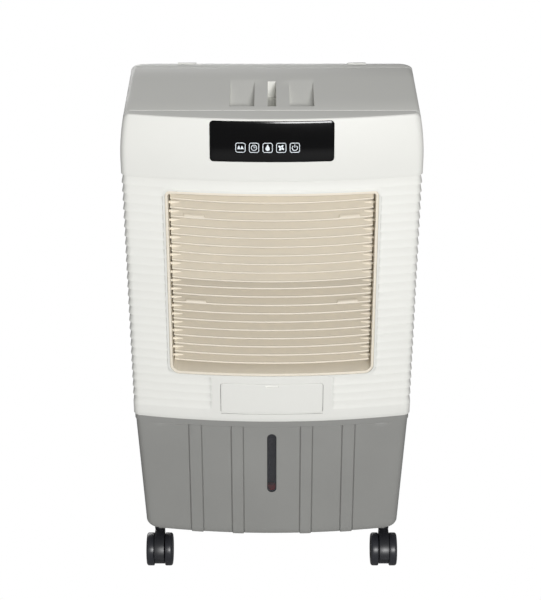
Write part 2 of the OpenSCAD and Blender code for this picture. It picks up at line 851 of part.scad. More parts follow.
// Slab that follows the tank's front face, from its surface inwards by depth
module window_form(grow, out) {
    intersection() {
        bow_sweep() polygon([[bow_r - tank_front_low - 1.5, tank_low],
                             [bow_r - tank_front_low + out, tank_low],
                             [bow_r - tank_front_top + out, seam_z - lip_h],
                             [bow_r - tank_front_top - 1.5, seam_z - lip_h]]);
        along_y(-back_y - 5, -120)
            obround(window_half_w + grow, window_low - grow, window_low + window_len + grow);
    }
}
module level_window() {
    color([0.15, 0.15, 0.15]) window_form(0, 0.3);
}
module level_float() {
    color([0.6, 0.25, 0.22]) block(-6.2, 6.2, -137.3, -130.6, window_low, window_low + 12);
}
module drain_plug() {
    color(dark) {
        cyl_y(8, 128, 143, 0, drain_z);
        cyl_y(12, 143.1, 145.6, 0, drain_z);
        cyl_y(8, 142, 144, 0, drain_z);
    }
}

// Casters
module caster_fork(k) {
    p = caster_places[k];
    hood_half = wheel_gap / 2 - 0.5;
    color(dark) translate([p[0], p[1], 0]) difference() {
        union() {
            cyl_z(stem_r, 60, tank_low + 24, 0, 0);
            cyl_z(8.5, 60, tank_low - 0.4, 0, 0);
            block(-hood_half, hood_half, -caster_trail, 7, wheel_d / 2, 62);
            cyl_x(wheel_d / 2 - 3, -hood_half, hood_half, -caster_trail, wheel_d / 2);
            intersection() {
                cyl_x(wheel_d / 2 + 7, -hood_half, hood_half, -caster_trail, wheel_d / 2);
                block(-hood_half, hood_half, -60, 7, wheel_d / 2 + 4, 62);
            }
        }
        cyl_x(3 + pin_gap, -20, 20, -caster_trail, wheel_d / 2);
    }
}
module caster_wheels(k) {
    p = caster_places[k];
    inner = wheel_gap / 2;
    color(dark) translate([p[0], p[1] - caster_trail, wheel_d / 2]) {
        cyl_x(3, -inner - 1, inner + 1, 0, 0);
        both_sides() difference() {
            cyl_x(wheel_d / 2, inner, inner + wheel_w, 0, 0);
            cyl_x(wheel_d / 2 - 7, inner + wheel_w - 3, inner + wheel_w + 1, 0, 0);
        }
    }
}

front_panel();
main_housing();
top_cover();
louvre_frame();
display_panel();
control_board();
fill_door();
fill_chute();
water_tank();
level_window();
level_float();
drain_plug();
pump();
pump_hose();
water_distributor();
cooling_pad();
rear_grille();
fan_shroud();
fan_motor();
fan_blade();
swing_motor();
vane_tie_bar();
tie_bars(1);  // upper_tie_bars
tie_bars(bank + 1);  // lower_tie_bars
cord_gland();
housing_screws();
for (k = [1:len(vane_x)]) vane(k);
for (k = louvre_numbers) louvre(k);
for (k = [0:3]) caster_fork(k);
for (k = [0:3]) caster_wheels(k);
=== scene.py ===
import math

import bmesh
import bpy
from mathutils import Matrix, Vector


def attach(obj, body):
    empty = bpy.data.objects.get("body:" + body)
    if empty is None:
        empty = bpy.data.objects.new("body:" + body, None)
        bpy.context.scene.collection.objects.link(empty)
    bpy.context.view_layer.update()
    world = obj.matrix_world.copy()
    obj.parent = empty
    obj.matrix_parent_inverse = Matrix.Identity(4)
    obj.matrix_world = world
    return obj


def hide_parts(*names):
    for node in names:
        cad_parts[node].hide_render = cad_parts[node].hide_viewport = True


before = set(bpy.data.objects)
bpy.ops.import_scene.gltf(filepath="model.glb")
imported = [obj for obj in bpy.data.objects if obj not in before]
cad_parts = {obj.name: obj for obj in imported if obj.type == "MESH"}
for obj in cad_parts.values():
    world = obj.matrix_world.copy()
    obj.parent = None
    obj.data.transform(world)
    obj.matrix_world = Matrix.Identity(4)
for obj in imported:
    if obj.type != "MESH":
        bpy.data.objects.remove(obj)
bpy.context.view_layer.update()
scene = bpy.context.scene
scene.view_settings.view_transform = "Standard"

# Lengths are in millimetres until a mesh is made.
MM = 0.001

# The cabinet's outer form, the same as the CAD model's. It starts at the seam over the tank. Above
# LEAN_Z the front leans back and the shoulders turn in, and the back rolls over with ROLL_R.
HALF_W = 215.0
BACK_Y = 146.0
TOP_Z = 790.0
SEAM_Z = 296.0
LEAN_Z = 720.0
LEAN_R = 210.0
ROLL_R = 90.0
FRONT_CORNER = 12.0
FRONT_SEAM = -103.0
REAR_CORNER = 20.0
SIDE_TAPER = 3.5
# Where the front's stations start to be spaced by their share of the way to the corner
NEAR_X = 180
# The front bows forward by BOW_RISE over the cabinet's width.
BOW_RISE = 21.0
BOW_R = (HALF_W ** 2 + BOW_RISE ** 2) / (2 * BOW_RISE)
BOW_Y = BOW_R - BACK_Y
SHOULDER_IN = 7.0
SHOULDER_R = (SHOULDER_IN ** 2 + (TOP_Z - LEAN_Z) ** 2) / (2 * SHOULDER_IN)
SHOULDER_FILLET = 8.0
WALL = 3.0
FRONT_WALL = 1.8
# The outlet frame's outline: half its width, its middle height, half its height and its corners
OUTLET_HALF = 152.5
OUTLET_MID = 528.5
OUTLET_RISE = 151.5
OUTLET_CORNER = 12.0
RIB_LOW = 316.0
RIB_PITCH = 14.2
RIB_COUNT = 27
TANK_LOW = 80
TANK_HIGH = 286
TANK_RISE = TANK_HIGH - TANK_LOW
# Middle of the drain boss, the fill door's hinge, and the louvres' pivot line
DRAIN = (0, 0, 104)
DOOR_HINGE = (0, -142, 311)
PIVOT_Y = -111.0
CASTERS = {"front_left": (-180, -90), "rear_left": (-180, 95),
           "front_right": (180, -90), "rear_right": (180, 95)}
# Height above a rib's lower edge, and how far the face lies under the outer form there.
RIB_PROFILE = [(0.0, 1.9), (0.12, 0.8), (0.4, 0.1), (1.0, 0.24), (3.0, 1.0), (5.2, 1.65),
               (8.0, 2.15), (11.0, 2.4), (14.1, 2.45)]


# ---------------------------------------------------------------- camera, lights, floor

def look_at(obj, target):
    direction = Vector(target) - obj.location
    obj.rotation_euler = direction.to_track_quat("-Z", "Y").to_euler()


def area_light(name, place, target, size, power):
    data = bpy.data.lights.new(name, "AREA")
    data.shape = "RECTANGLE"
    data.size = size[0]
    data.size_y = size[1]
    data.energy = power
    light = bpy.data.objects.new(name, data)
    scene.collection.objects.link(light)
    light.location = place
    look_at(light, target)


camera_data = bpy.data.cameras.new("camera")
camera_data.lens = 106.1
camera_data.sensor_width = 36
camera_data.clip_end = 50
camera = bpy.data.objects.new("camera", camera_data)
scene.collection.objects.link(camera)
camera.location = (-0.002, -2.401, 1.774)
camera.rotation_euler = (math.radians(90 - 29.3), 0, 0)
scene.camera = camera

area_light("key", (0.7, -4.3, 2.5), (0, 0, 0.42), (1.3, 0.9), 172)
area_light("fill_left", (-2.2, -2.4, 1.1), (0, 0, 0.4), (1.8, 1.6), 6)
area_light("back_fill", (-0.9, 3.4, 0.75), (0, 0, 0.42), (2.4, 1.1), 42)

world = bpy.data.worlds.new("studio")
scene.world = world
world.use_nodes = True
background = world.node_tree.nodes["Background"]
background.inputs["Color"].default_value = (1, 1, 1, 1)
background.inputs["Strength"].default_value = 0.18
# The camera sees a white backdrop, while the object is lit by a softer one.
seen = world.node_tree.nodes.new("ShaderNodeBackground")
seen.inputs["Color"].default_value = (1, 1, 1, 1)
seen.inputs["Strength"].default_value = 1.0
path = world.node_tree.nodes.new("ShaderNodeLightPath")
choice = world.node_tree.nodes.new("ShaderNodeMixShader")
world.node_tree.links.new(path.outputs["Is Camera Ray"], choice.inputs[0])
world.node_tree.links.new(background.outputs[0], choice.inputs[1])
world.node_tree.links.new(seen.outputs[0], choice.inputs[2])
world.node_tree.links.new(choice.outputs[0], world.node_tree.nodes["World Output"].inputs[0])


# ---------------------------------------------------------------- materials

def rgb(red, green, blue):
    """The linear colour of an sRGB colour given as 0 to 255."""
    def linear(value):
        value = value / 255
        if value <= 0.04045:
            return value / 12.92
        return ((value + 0.055) / 1.055) ** 2.4
    return (linear(red), linear(green), linear(blue), 1)


def noise(tree, scale, detail=2.0, stretch=(1, 1, 1)):
    """A noise texture in metres, fixed to the object."""
    place = tree.nodes.new("ShaderNodeTexCoord")
    mapping = tree.nodes.new("ShaderNodeMapping")
    mapping.inputs["Scale"].default_value = stretch
    texture = tree.nodes.new("ShaderNodeTexNoise")
    texture.inputs["Scale"].default_value = scale
    texture.inputs["Detail"].default_value = detail
    tree.links.new(place.outputs["Object"], mapping.inputs["Vector"])
    tree.links.new(mapping.outputs["Vector"], texture.inputs["Vector"])
    return texture.outputs["Fac"]


def spread(tree, value, low, high):
    """Maps a 0.3 to 0.7 noise value onto a range."""
    node = tree.nodes.new("ShaderNodeMapRange")
    node.inputs["From Min"].default_value = 0.3
    node.inputs["From Max"].default_value = 0.7
    node.inputs["To Min"].default_value = low
    node.inputs["To Max"].default_value = high
    tree.links.new(value, node.inputs["Value"])
    return node.outputs["Result"]


def material(name, colour, rough=0.4, vary=0.04, grain=1400.0, relief=0.00002, metal=0.0,
             stretch=(1, 1, 1), specular=0.5, wander=0.03):
    """Moulded plastic, rubber or metal: a colour that drifts slightly over the surface, a roughness
    that wanders with it, and a fine moulded grain in the bump."""
    made = bpy.data.materials.new(name)
    made.use_nodes = True
    tree = made.node_tree
    shader = tree.nodes["Principled BSDF"]
    shader.inputs["Metallic"].default_value = metal
    shader.inputs["Specular IOR Level"].default_value = specular
    # Broad, faint drift of colour, as in a large moulding
    drift = spread(tree, noise(tree, 9.0, 3.0), 0.0, 1.0)
    mix = tree.nodes.new("ShaderNodeMix")
    mix.data_type = "RGBA"
    mix.inputs["A"].default_value = [c * (1 - vary) for c in colour[:3]] + [1]
    mix.inputs["B"].default_value = [min(1, c * (1 + vary)) for c in colour[:3]] + [1]
    tree.links.new(drift, mix.inputs["Factor"])
    tree.links.new(mix.outputs["Result"], shader.inputs["Base Color"])
    roughness = spread(tree, noise(tree, 60.0, 4.0, stretch), rough - wander, rough + wander)
    tree.links.new(roughness, shader.inputs["Roughness"])
    bump = tree.nodes.new("ShaderNodeBump")
    bump.inputs["Strength"].default_value = 0.6
    bump.inputs["Distance"].default_value = relief
    tree.links.new(noise(tree, grain, 2.0, stretch), bump.inputs["Height"])
    tree.links.new(bump.outputs["Normal"], shader.inputs["Normal"])
    return made


WHITE = material("white_shell", rgb(232, 232, 227), 0.5, 0.008, specular=0.35, wander=0.015)
BEIGE = material("beige_outlet", rgb(236, 228, 212), 0.5, 0.012, specular=0.35, wander=0.02)
GREY = material("grey_tank", rgb(146, 146, 143), 0.45, 0.03)
BLACK = material("black_gloss", rgb(9, 9, 10), 0.12, 0.1, relief=0.000004, specular=0.25,
                 wander=0.01)
DARK = material("dark_plastic", rgb(34, 35, 39), 0.38, 0.08)
TREAD = material("caster_tread", rgb(42, 43, 48), 0.34, 0.12, relief=0.00003)
FLOAT = material("float_red", rgb(206, 52, 44), 0.4, 0.06)
PAPER = material("pad_paper", rgb(150, 116, 76), 0.85, 0.25, grain=500, relief=0.0004)
INNER = material("inner_plastic", rgb(196, 196, 192), 0.5, 0.03)
BOARD = material("board_green", rgb(24, 84, 48), 0.4, 0.15, grain=700, relief=0.00005)
HOSE = material("hose_rubber", rgb(40, 40, 41), 0.6, 0.1, relief=0.00006)
STEEL = material("motor_steel", rgb(168, 170, 172), 0.34, 0.06, 900, 0.00001, 0.9, (1, 1, 9))
GLYPH = material("glyph_print", rgb(232, 240, 246), 0.5, 0.02)

# Tinted clear plastic of the level window
PANE = material("window_clear", rgb(176, 176, 184), 0.08, 0.03, relief=0.000004, specular=0.3)
PANE.node_tree.nodes["Principled BSDF"].inputs["Transmission Weight"].default_value = 0.95


# ---------------------------------------------------------------- mesh helpers

def new_object(name, points, faces):
    mesh = bpy.data.meshes.new(name)
    mesh.from_pydata([(x * MM, y * MM, z * MM) for x, y, z in points], [], faces)
    obj = bpy.data.objects.new(name, mesh)
    scene.collection.objects.link(obj)
    return obj


def grid_faces(rows, columns, start=0, wrap=False):
    """Quads between rows of points. wrap joins each row's last point to its first."""
    faces = []
    for i in range(rows - 1):
        for j in range(columns if wrap else columns - 1):
            k = (j + 1) % columns
            a = start + i * columns
            faces.append((a + j, a + k, a + columns + k, a + columns + j))
    return faces


def ring_faces(count, first, second):
    """Quads between two closed rows of points, given the index of each row's first point."""
    steps = [(i, (i + 1) % count) for i in range(count)]
    return [(first + i, first + k, second + k, second + i) for i, k in steps]


def slab_faces(rows, columns):
    """Faces of a closed slab: two grids of points, one after the other, and the wall between."""
    count = rows * columns
    faces = grid_faces(rows, columns)
    faces += [tuple(reversed(face)) for face in grid_faces(rows, columns, count)]
    border = list(range(columns))
    border += [i * columns + columns - 1 for i in range(1, rows)]
    border += [(rows - 1) * columns + j for j in range(columns - 2, -1, -1)]
    border += [i * columns for i in range(rows - 2, 0, -1)]
    for i in range(len(border)):
        a = border[i]
        b = border[(i + 1) % len(border)]
        faces.append((b, a, a + count, b + count))
    return faces


def apply_modifiers(obj):
    bpy.context.view_layer.update()
    graph = bpy.context.evaluated_depsgraph_get()
    mesh = bpy.data.meshes.new_from_object(obj.evaluated_get(graph))
    obj.modifiers.clear()
    obj.data = mesh


def fix_normals(obj):
    work = bmesh.new()
    work.from_mesh(obj.data)
    bmesh.ops.recalc_face_normals(work, faces=work.faces)
    work.to_mesh(obj.data)
    work.free()


def thicken(obj, depth):
    """Gives a sheet its wall, inwards from its outer face."""
    solid = obj.modifiers.new("wall", "SOLIDIFY")
    solid.thickness = depth * MM
    solid.offset = -1
    apply_modifiers(obj)


def combine(obj, other, operation):
    """Adds or cuts away another closed mesh."""
    boolean = obj.modifiers.new("combine", "BOOLEAN")
    boolean.operation = operation
    boolean.object = other
    boolean.solver = "EXACT"
    apply_modifiers(obj)
    bpy.data.objects.remove(other)


def cap_last_row(obj, rows, columns, weld=0.0):
    """Closes a sheet's last row of points with one face, and welds points that meet."""
    work = bmesh.new()
    work.from_mesh(obj.data)
    work.verts.ensure_lookup_table()
    last = (rows - 1) * columns
    work.faces.new([work.verts[last + i] for i in range(columns)])
    if weld:
        bmesh.ops.remove_doubles(work, verts=work.verts, dist=weld)
    work.to_mesh(obj.data)
    work.free()


def drop_scraps(obj, least):
    """Welds what a cut left split, and removes loose bits with fewer faces than given."""
    work = bmesh.new()
    work.from_mesh(obj.data)
    bmesh.ops.remove_doubles(work, verts=work.verts, dist=0.000002)
    bmesh.ops.dissolve_degenerate(work, edges=work.edges, dist=0.000002)
    waiting = set(work.faces)
    scraps = []
    while waiting:
        island = [waiting.pop()]
        for face in island:
            for edge in face.edges:
                for other in edge.link_faces:
                    if other in waiting:
                        waiting.remove(other)
                        island.append(other)
        if len(island) < least:
            scraps += island
    bmesh.ops.delete(work, geom=scraps, context="FACES")
    work.to_mesh(obj.data)
    work.free()


def soften(obj, width, angle=40, segments=2):
    """Rounds the edges that turn by more than an angle."""
    bevel = obj.modifiers.new("soften", "BEVEL")
    bevel.width = width * MM
    bevel.segments = segments
    bevel.limit_method = "ANGLE"
    bevel.angle_limit = math.radians(angle)
    bevel.harden_normals = False


def shade(obj, angle=32):
    """Smooth shading that breaks at the edges that turn by more than an angle."""
    work = bmesh.new()
    work.from_mesh(obj.data)
    for face in work.faces:
        face.smooth = True
    for edge in work.edges:
        if len(edge.link_faces) == 2:
            edge.smooth = edge.calc_face_angle(0) < math.radians(angle)
    work.to_mesh(obj.data)
    work.free()


def join(name, parts):
    """One object from several that don't need to be fused."""
    work = bmesh.new()
    for part in parts:
        work.from_mesh(part.data)
        bpy.data.objects.remove(part)
    mesh = bpy.data.meshes.new(name)
    work.to_mesh(mesh)
    work.free()
    obj = bpy.data.objects.new(name, mesh)
    scene.collection.objects.link(obj)
    return obj


def prism(name, outline, low, high, axis):
    """A closed prism. outline is (u, v) points; axis 0 gives u, v as Y, Z; 1 as X, Z; 2 as X, Y."""
    def place(u, v, w):
        return [(w, u, v), (u, w, v), (u, v, w)][axis]
    count = len(outline)
    points = [place(u, v, low) for u, v in outline] + [place(u, v, high) for u, v in outline]
    faces = ring_faces(count, 0, count)
    faces.append(tuple(range(count)))
    faces.append(tuple(range(count, 2 * count)))
    obj = new_object(name, points, faces)
    fix_normals(obj)
    return obj


def box(name, x0, x1, y0, y1, z0, z1):
    return prism(name, [(x0, z0), (x1, z0), (x1, z1), (x0, z1)], y0, y1, 1)


def side_span(sign, near, far):
    """The X range between two distances from the middle, on the left (-1) or right (1) side."""
    return sorted((sign * near, sign * far))


def arc(cx, cy, r, start, end, steps):
    """Points on an arc, angles in degrees."""
    turns = [math.radians(start + (end - start) * i / steps) for i in range(steps + 1)]
    return [(cx + r * math.cos(t), cy + r * math.sin(t)) for t in turns]


def rounded(x0, x1, z0, z1, low_r, high_r, steps=8):
    """A rectangle's outline with its own lower and upper corner radii."""
    outline = arc(x1 - low_r, z0 + low_r, low_r, -90, 0, steps)
    outline += arc(x1 - high_r, z1 - high_r, high_r, 0, 90, steps)
    outline += arc(x0 + high_r, z1 - high_r, high_r, 90, 180, steps)
    outline += arc(x0 + low_r, z0 + low_r, low_r, 180, 270, steps)
    return outline


def densify(outline, step):
    """Adds points along the long straight stretches of a closed outline."""
    dense = []
    for i in range(len(outline)):
        a = Vector(outline[i])
        b = Vector(outline[(i + 1) % len(outline)])
        parts = max(1, round((b - a).length / step))
        dense += [tuple(a.lerp(b, k / parts)) for k in range(parts)]
    return dense


def lathe(name, profile, centre, axis, steps=48):
    """Turns an (r, h) profile round an axis through centre. A point at r 0 closes an end."""
    points = []
    for r, h in profile:
        for i in range(steps):
            t = 2 * math.pi * i / steps
            turned = [(h, r * math.cos(t), r * math.sin(t)), (r * math.sin(t), h, r * math.cos(t)),
                      (r * math.cos(t), r * math.sin(t), h)][axis]
            points.append([turned[k] + centre[k] for k in range(3)])
    obj = new_object(name, points, grid_faces(len(profile), steps, 0, True))
    work = bmesh.new()
    work.from_mesh(obj.data)
    bmesh.ops.remove_doubles(work, verts=work.verts, dist=0.00001)
    bmesh.ops.recalc_face_normals(work, faces=work.faces)
    work.to_mesh(obj.data)
    work.free()
    return obj


def finish_piece(obj, body, look, nodes=(), angle=32):
    """Shades a piece, ties it to its body and hides the CAD nodes that it stands for."""
    shade(obj, angle)
    obj.data.materials.clear()
    obj.data.materials.append(look)
    for face in obj.data.polygons:
        face.material_index = 0
    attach(obj, body)
    if nodes:
        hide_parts(*nodes)


# ---------------------------------------------------------------- cabinet form

def half_width(z):
    if z <= LEAN_Z:
        return HALF_W - SIDE_TAPER * (LEAN_Z - z) / (LEAN_Z - SEAM_Z)
    return HALF_W - SHOULDER_R + math.sqrt(SHOULDER_R ** 2 - (z - LEAN_Z) ** 2)


def lean(z):
    """How far the front has gone back at a height."""
    up = max(0.0, z - LEAN_Z)
    return LEAN_R - math.sqrt(LEAN_R ** 2 - up ** 2)


def back_line(z):
    up = max(0.0, z - (TOP_Z - ROLL_R))
    return BACK_Y - ROLL_R + math.sqrt(max(0.0, ROLL_R ** 2 - up ** 2))


def front_y(x, inset=0.0, z=0.0):
    """Y of the bowed front, a distance under its surface."""
    return BOW_Y - math.sqrt((BOW_R - inset - lean(z)) ** 2 - x ** 2)


def ease(value, low, high):
    t = min(1.0, max(0.0, (value - low) / (high - low)))
    return t * t * (3 - 2 * t)


def outlet_distance(x, z):
    """Distance outside the louvre frame's rounded outline, negative inside it."""
    dx = abs(x) - (OUTLET_HALF - OUTLET_CORNER)
    dz = abs(z - OUTLET_MID) - (OUTLET_RISE - OUTLET_CORNER)
    return math.hypot(max(dx, 0), max(dz, 0)) + min(max(dx, dz), 0) - OUTLET_CORNER


def rib_mask(x, y, z, kind):
    """1 where the ribs are at their full depth and 0 on the plain areas."""
    mask = 1.0
    if kind == "front":
        mask = ease(outlet_distance(x, z), 2.6, 4.4)
        if z < 373.5:
            mask *= ease(abs(x), 91.0, 94.5)
    if y > 100:
        mask = 1 - ease(y, 121, 126)
    return mask


def plan_point(kind, t, w, bow, back, inset, heel=REAR_CORNER):
    """A point of the right half of the plan outline, for one of its stretches:
    front (t is X), near (a share of the way to the corner), corner and heel (a share of the arc),
    cheek (a share of the way to the front seam), side (t is Y) and back (a share of half of it)."""
    cx = w - FRONT_CORNER
    cy = BOW_Y - math.sqrt((bow - FRONT_CORNER) ** 2 - cx ** 2)
    start = math.atan2(cy - BOW_Y, cx)
    if kind == "front":
        return t, BOW_Y - math.sqrt((bow - inset) ** 2 - t ** 2)
    if kind == "near":
        x = NEAR_X + t * ((bow - inset) * math.cos(start) - NEAR_X)
        return x, BOW_Y - math.sqrt((bow - inset) ** 2 - x ** 2)
    if kind == "corner":
        turn = start * (1 - t)
        r = FRONT_CORNER - inset
        return cx + r * math.cos(turn), cy + r * math.sin(turn)
    if kind == "cheek":
        return w - inset, cy + t * (FRONT_SEAM - 0.9 - cy)
    if kind == "side":
        return w - inset, t
    if kind == "heel":
        turn = math.radians(90 * t)
        r = max(0.05, heel - inset)
        return w - heel + r * math.cos(turn), back - heel + r * math.sin(turn)
    return (w - heel) * t, back - inset


# ---------------------------------------------------------------- cabinet shells

def rib_rows():
    """(z, depth) rows from the seam up to the plain band over the ribs."""
    rows = [(SEAM_Z, 0.7), (SEAM_Z + 0.2, 0.25), (SEAM_Z + 0.7, 0.0), (304.0, 0.0), (315.6, 0.0)]
    for i in range(RIB_COUNT):
        z = RIB_LOW + i * RIB_PITCH
        rows += [(z + up, depth) for up, depth in RIB_PROFILE if i > 0 or up > 0.3]
    top = RIB_LOW + RIB_COUNT * RIB_PITCH
    return rows + [(top, 1.5), (top + 0.12, 0.6), (top + 0.5, 0.1), (top + 1.2, 0.0)]


def loft(name, stations, rows):
    """A sheet through rows of points. Each row is a function of a station."""
    points = []
    for row in rows:
        for station in stations:
            points.append(row(station))
    return new_object(name, points, grid_faces(len(rows), len(stations)))


def mirrored(half):
    """Stations for both halves, from the left end to the right end. half starts in the middle."""
    left = [(kind, t, edge, -1) for kind, t, edge in reversed(half)]
    right = [(kind, t, edge, 1) for kind, t, edge in half]
    return left[:-1] + right


def shell_row(z, depth):
    """A row of the ribbed walls at a height."""
    def place(station):
        kind, t, edge, sign = station
        w = half_width(z)
        x, y = plan_point(kind, t, w, BOW_R - lean(z), back_line(z), 0)
        ribbed = RIB_LOW < z < RIB_LOW + RIB_COUNT * RIB_PITCH + 1
        part = rib_mask(x, y, z, kind) if ribbed else 1
        x, y = plan_point(kind, t, w, BOW_R - lean(z), back_line(z), depth * part + edge)
        return sign * x, y, z
    return place


def fillet_radius(kind, t):
    """The top edge is rounded a little along the front and more on the shoulders."""
    if kind in ("front", "near"):
        return 2.0
    if kind == "corner":
        return 2.0 + (SHOULDER_FILLET - 2.0) * ease(t, 0.1, 0.9)
    return SHOULDER_FILLET


def top_row(share, turn):
    """A row of the leaning band over the ribs (share of its height) and of the rounded top edge."""
    def place(station):
        kind, t, edge, sign = station
        r = fillet_radius(kind, t)
        bend = math.radians(90 * turn)
        low = RIB_LOW + RIB_COUNT * RIB_PITCH + 1.2
        z = low + (TOP_Z - r - low) * share + r * math.sin(bend)
        inset = r * (1 - math.cos(bend)) + edge * math.cos(bend)
        x, y = plan_point(kind, t, half_width(z), BOW_R - lean(z), BACK_Y, inset)
        return sign * x, y, z - edge * math.sin(bend)
    return place


def door_heel(x):
    """Radius of the fill door's round lower edge, which ends flush with the bowed front."""
    return max(1.6, -142.1 - front_y(x))


def make_front_panel():
    front_x = [0, 15, 30, 45, 60, 75, 88, 91, 92.2, 93.4, 94.6, 102, 113, 124, 135, 146, 152.5,
               154, 155.2, 156.2, 157.2, 159, 164, 172]
    half = [("front", x, 0.0) for x in front_x]
    half += [("near", i / 3, 0.0) for i in range(4)]
    half += [("corner", i / 7, 0.0) for i in range(1, 8)]
    half += [("cheek", 0.5, 0.0), ("cheek", 1.0, 0.0), ("side", FRONT_SEAM - 0.3, 0.15),
             ("side", FRONT_SEAM, 0.6)]
    stations = mirrored(half)
    rows = [shell_row(z, depth) for z, depth in rib_rows()]
    rows += [top_row(i / 18, 0) for i in range(1, 19)]
    rows += [top_row(1, i / 6) for i in range(1, 7)]
    panel = loft("front_shell", stations, rows)
    # The flat top between the front edge and the lid
    cap_last_row(panel, len(rows), len(stations))
    thicken(panel, FRONT_WALL)
    # Openings for the louvres, the fill door and the display
    outlet = prism("outlet", rounded(-152.7, 152.7, 376.8, 680.2, 14.2, 8.2), -160, -96, 1)
    combine(panel, outlet, "DIFFERENCE")
    door = prism("door_hole", rounded(-77.6, 77.6, 311, 363.6, 4.5, 4.5), -160, -110, 1)
    combine(panel, door, "DIFFERENCE")
    # The opening's round lower edge, which the door turns in
    round_edge = [(0, -77.6)] + [(door_heel(x) + 0.5, x) for x in range(-77, 78, 7)] + [(0, 77.6)]
    turning = lathe("door_turn", round_edge, DOOR_HINGE, 0, 40)
    combine(panel, turning, "DIFFERENCE")
    display = prism("display_hole", rounded(-87.4, 87.4, 729.6, 787.3, 5.4, 5.4), -160, -112, 1)
    combine(panel, display, "DIFFERENCE")
    drop_scraps(panel, 100)
    finish_piece(panel, "cabinet", WHITE, ["front_panel"])


def make_sides():
    ends = [(-102.7, 0.6), (-102.5, 0.15), (-102.0, 0.0)]
    middle = [(-80 + 22 * i, 0.0) for i in range(7)]
    far = [(59.3, 0.0), (59.8, 0.15), (60.0, 0.6)]
    half = [("side", y, edge) for y, edge in ends + middle + far]
    rows = rib_rows() + [(704 + 10 * i, 0.0) for i in range(7)]
    rows += [(773.9, 0.0), (774.5, 0.15), (774.7, 0.6)]
    parts = []
    for sign in (-1, 1):
        stations = [(kind, t, edge, sign) for kind, t, edge in half]
        if sign < 0:
            stations.reverse()
        side = loft("side", stations, [shell_row(z, depth) for z, depth in rows])
        thicken(side, WALL)
        parts.append(side)
    # The deck over the tank, and the rails that carry the drip trough
    parts.append(box("deck", -208, 208, -102, 59, 299, 302))
    for sign in (-1, 1):
        parts.append(box("rail", *side_span(sign, 199, 211.5), 44, 59, 736, 742))
    sides = join("side_shells", parts)
    finish_piece(sides, "cabinet", WHITE, ["main_housing"])


def make_rear_panel():
    half = [("back", i / 8, 0.0) for i in range(9)]
    half += [("heel", 1 - i / 7, 0.0) for i in range(1, 8)]
    half += [("side", 124, 0.0), ("side", 122, 0.0), ("side", 105, 0.0), ("side", 84, 0.0),
             ("side", 61.2, 0.0), ("side", 60.6, 0.15), ("side", 60.3, 0.6)]
    right = [(kind, t, edge, 1) for kind, t, edge in reversed(half)]
    left = [(kind, t, edge, -1) for kind, t, edge in half]
    stations = right[:-1] + left
    rows = [shell_row(z, depth) for z, depth in rib_rows() if z < 700]

    def roll_row(angle):
        def place(station):
            kind, t, edge, sign = station
            z = TOP_Z - ROLL_R + ROLL_R * math.sin(math.radians(angle))
            back = back_line(z)
            heel = min(REAR_CORNER, back - 60.9)
            up = max(0.0, z - (TOP_Z - SHOULDER_FILLET))
            w = half_width(z) - SHOULDER_FILLET + math.sqrt(SHOULDER_FILLET ** 2 - up ** 2)
            if kind == "side":
                t = min(t, back - heel)
            x, y = plan_point(kind, t, w, BOW_R, back, edge, heel)
            return sign * x, y, z
        return place

    rows += [roll_row(1.3 + 85 * i / 24) for i in range(25)]
    shell = loft("rear_shell", stations, rows)
    cap_last_row(shell, len(rows), len(stations), 0.00002)
    thicken(shell, WALL)
    # Two columns of air slots with round ends
    slots = []
    for i in range(25):
        for sign in (-1, 1):
            low = 326 + 16 * i
            outline = rounded(*side_span(sign, 8, 184), low, low + 8, 3.9, 3.9, 4)
            slots.append(prism("slot", outline, 138, 150, 1))
    combine(shell, join("slots", slots), "DIFFERENCE")
    parts = [shell, box("ledge", -206, 206, 86, 143, 312, 316)]
    # Clips that hook over the roof
    for sign in (-1, 1):
        x = sign * 127
        curve = [(56 + 91.8 * math.cos(math.radians(a)), 700 + 91.8 * math.sin(math.radians(a)))
                 for a in (77, 74, 71, 68, 65)]
        inner = [(56 + 88 * math.cos(math.radians(a)), 700 + 88 * math.sin(math.radians(a)))
                 for a in (65, 68, 71, 74, 77)]
        clip = prism("clip", curve + inner, x - 14, x + 14, 0)
        soften(clip, 1.2)
        apply_modifiers(clip)
        parts.append(clip)
    for sign in (-1, 1):
        parts.append(box("stop", *side_span(sign, 194, 210), 120, 142, 317, 718))
    rear = join("rear_panel_shell", parts)
    finish_piece(rear, "rear_panel", WHITE, ["rear_grille"])


